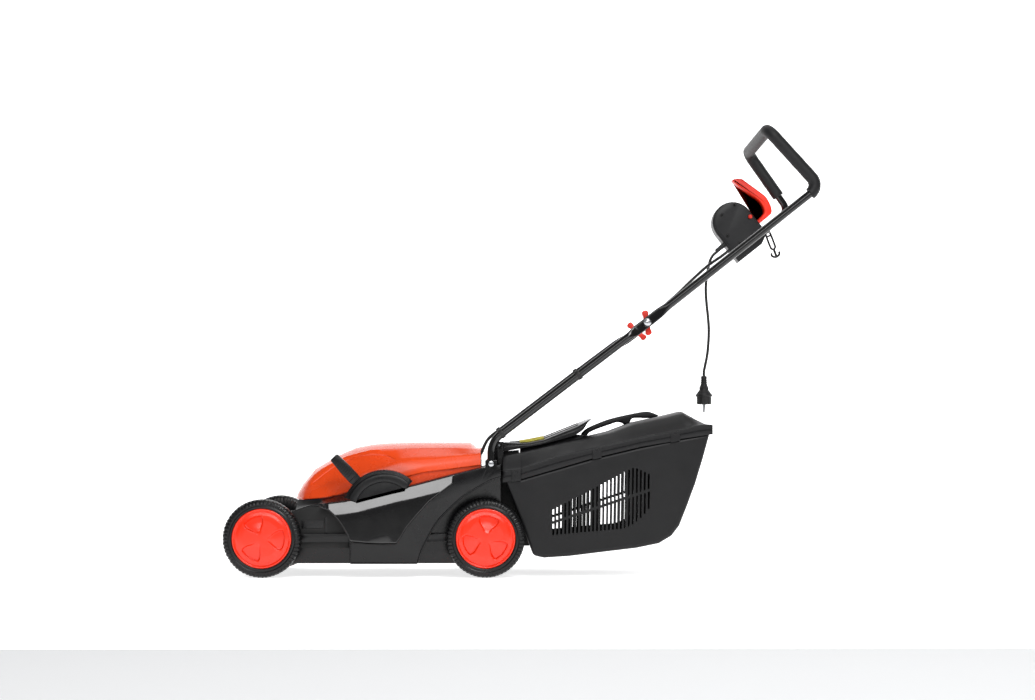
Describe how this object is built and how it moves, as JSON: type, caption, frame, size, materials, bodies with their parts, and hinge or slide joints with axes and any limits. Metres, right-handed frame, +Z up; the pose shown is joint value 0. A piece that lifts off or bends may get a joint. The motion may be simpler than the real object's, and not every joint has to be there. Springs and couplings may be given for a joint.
{
  "type": "push lawn mower",
  "caption": "Corded electric rotary mower with crank height adjuster, rear flap, slide-off grass box and folding handle with sprung switch lever.",
  "frame": {"origin": "middle of the object's length and width on the ground plane, measured without the pigtail cord and plug", "axes": "+X to the rear where the user stands, +Y to the user's right, +Z up"},
  "size_m": [1.2919, 0.4, 0.9845],
  "materials": {
    "deck_black": "moulded polypropylene, fine grain",
    "panel_black": "high gloss moulded trim",
    "hood_red": "semi-gloss moulded ABS, orange red",
    "cap_red": "semi-gloss moulded hub cap",
    "lever_black": "moulded nylon, ribbed",
    "tyre_black": "moulded tread",
    "box_black": "moulded polypropylene, coarse grain",
    "tube_black": "gloss powder coat on steel tube",
    "foam_grey": "closed-cell foam sleeve",
    "switch_grey": "moulded housing, fine grain",
    "bail_red": "moulded nylon, red",
    "knob_red": "moulded nylon, dark red",
    "zinc": "bright zinc plate",
    "axle_steel": "zinc plated steel",
    "blade_steel": "dark lacquered spring steel",
    "motor_alu": "die-cast aluminium",
    "core_steel": "stacked lamination steel",
    "copper": "enamelled copper winding",
    "capacitor_white": "moulded case",
    "cord_black": "smooth rubber sheath",
    "pin_nickel": "nickel plated brass",
    "inner_black": "glass-filled nylon"
  },
  "bodies": {
    "chassis": {"deck": "deck_black", "side_panel_left": "panel_black", "side_panel_right": "panel_black", "lever_guard": "lever_black", "hood": "hood_red", "hood_screws": "zinc", "motor_housing_lower": "motor_alu", "motor_housing_upper": "motor_alu", "stator_core": "core_steel", "stator_windings": "copper", "motor_bearings": "axle_steel", "motor_bolts": "zinc", "run_capacitor": "capacitor_white", "axle_straps": "axle_steel", "flap_rod": "axle_steel", "flap_spring": "zinc", "lower_tube_left": "tube_black", "lower_tube_right": "tube_black", "tube_screws": "zinc", "fold_bolts": "zinc", "cable_clips": "cord_black", "motor_cable_lower": "cord_black"},
    "rotor_set": {"rotor": "core_steel", "cooling_fan": "inner_black", "blade_carrier": "inner_black", "blade": "blade_steel", "blade_bolt": "zinc"},
    "front_crank": {"front_axle": "axle_steel", "front_axle_clips": "zinc"},
    "rear_crank": {"rear_axle": "axle_steel", "rear_axle_clips": "zinc"},
    "link": {"link_rod": "lever_black"},
    "lever": {"height_lever": "lever_black"},
    "wheel_front_left": {"front_wheel_left": "tyre_black", "front_hubcap_left": "cap_red"},
    "wheel_front_right": {"front_wheel_right": "tyre_black", "front_hubcap_right": "cap_red"},
    "wheel_rear_left": {"rear_wheel_left": "tyre_black", "rear_hubcap_left": "cap_red"},
    "wheel_rear_right": {"rear_wheel_right": "tyre_black", "rear_hubcap_right": "cap_red"},
    "rear_flap": {"flap": "box_black"},
    "grass_box": {"box_body": "box_black", "box_lid": "box_black", "carry_handle": "box_black"},
    "handle": {"upper_handle": "tube_black", "grip_foam": "foam_grey", "switch_box_inner": "switch_grey", "switch_box_outer": "switch_grey", "box_gland": "cord_black", "pigtail_cord": "cord_black", "plug_body": "cord_black", "plug_pins": "pin_nickel", "cable_hook": "switch_grey", "motor_cable_upper": "cord_black"},
    "knob_left": {"wing_knob_left": "knob_red"},
    "knob_right": {"wing_knob_right": "knob_red"},
    "bail": {"bail_lever": "bail_red"},
    "button": {"lock_button": "knob_red"}
  },
  "joints": [
    {"name": "blade_spin", "type": "hinge", "parent": "chassis", "child": "rotor_set", "pos_m": [-0.3226, 0, 0.05], "axis": [0, 0, 1], "continuous": true},
    {"name": "lever_turn", "type": "hinge", "parent": "chassis", "child": "lever", "pos_m": [-0.3, -0.18, 0.142], "axis": [0, 1, 0], "range_deg": [0, 70]},
    {"name": "front_crank_turn", "type": "hinge", "parent": "chassis", "child": "front_crank", "pos_m": [-0.59127, 0, 0.06392], "axis": [0, 1, 0], "range_deg": [0, 70]},
    {"name": "rear_crank_turn", "type": "hinge", "parent": "chassis", "child": "rear_crank", "pos_m": [-0.11127, 0, 0.06392], "axis": [0, 1, 0], "range_deg": [0, 70]},
    {"name": "link_pivot", "type": "hinge", "parent": "front_crank", "child": "link", "pos_m": [-0.5626, -0.165, 0.084], "axis": [0, 1, 0], "range_deg": [-70, 0]},
    {"name": "wheel_front_left_spin", "type": "hinge", "parent": "front_crank", "child": "wheel_front_left", "pos_m": [-0.5626, -0.184, 0.084], "axis": [0, 1, 0], "continuous": true},
    {"name": "wheel_front_right_spin", "type": "hinge", "parent": "front_crank", "child": "wheel_front_right", "pos_m": [-0.5626, 0.184, 0.084], "axis": [0, 1, 0], "continuous": true},
    {"name": "wheel_rear_left_spin", "type": "hinge", "parent": "rear_crank", "child": "wheel_rear_left", "pos_m": [-0.0826, -0.184, 0.084], "axis": [0, 1, 0], "continuous": true},
    {"name": "wheel_rear_right_spin", "type": "hinge", "parent": "rear_crank", "child": "wheel_rear_right", "pos_m": [-0.0826, 0.184, 0.084], "axis": [0, 1, 0], "continuous": true},
    {"name": "flap_turn", "type": "hinge", "parent": "chassis", "child": "rear_flap", "pos_m": [-0.054, 0, 0.284], "axis": [0, -1, 0], "range_deg": [0, 65], "stiffness_Nm_per_rad": 0.2},
    {"name": "grass_box_slide", "type": "slide", "parent": "chassis", "child": "grass_box", "axis": [1, 0, 0], "range_m": [0, 0.35]},
    {"name": "handle_fold", "type": "hinge", "parent": "chassis", "child": "handle", "pos_m": [0.267, 0, 0.5497], "axis": [0, -1, 0], "range_deg": [0, 140]},
    {"name": "knob_left_turn", "type": "hinge", "parent": "chassis", "child": "knob_left", "pos_m": [0.267, -0.16, 0.5497], "axis": [0, 1, 0], "continuous": true},
    {"name": "knob_right_turn", "type": "hinge", "parent": "chassis", "child": "knob_right", "pos_m": [0.267, 0.16, 0.5497], "axis": [0, 1, 0], "continuous": true},
    {"name": "bail_turn", "type": "hinge", "parent": "handle", "child": "bail", "pos_m": [0.53692, 0.176, 0.79345], "axis": [0, 1, 0], "range_deg": [0, 12], "stiffness_Nm_per_rad": 0.6, "springref_deg": -11.46},
    {"name": "button_press", "type": "slide", "parent": "handle", "child": "button", "axis": [0, 1, 0], "range_m": [0, 0.0035], "stiffness_N_per_m": 600, "springref_m": -0.001}
  ],
  "couplings": [
    {"joint": "front_crank_turn", "follows": "lever_turn", "ratio": 1},
    {"joint": "rear_crank_turn", "follows": "lever_turn", "ratio": 1},
    {"joint": "link_pivot", "follows": "lever_turn", "ratio": -1}
  ]
}
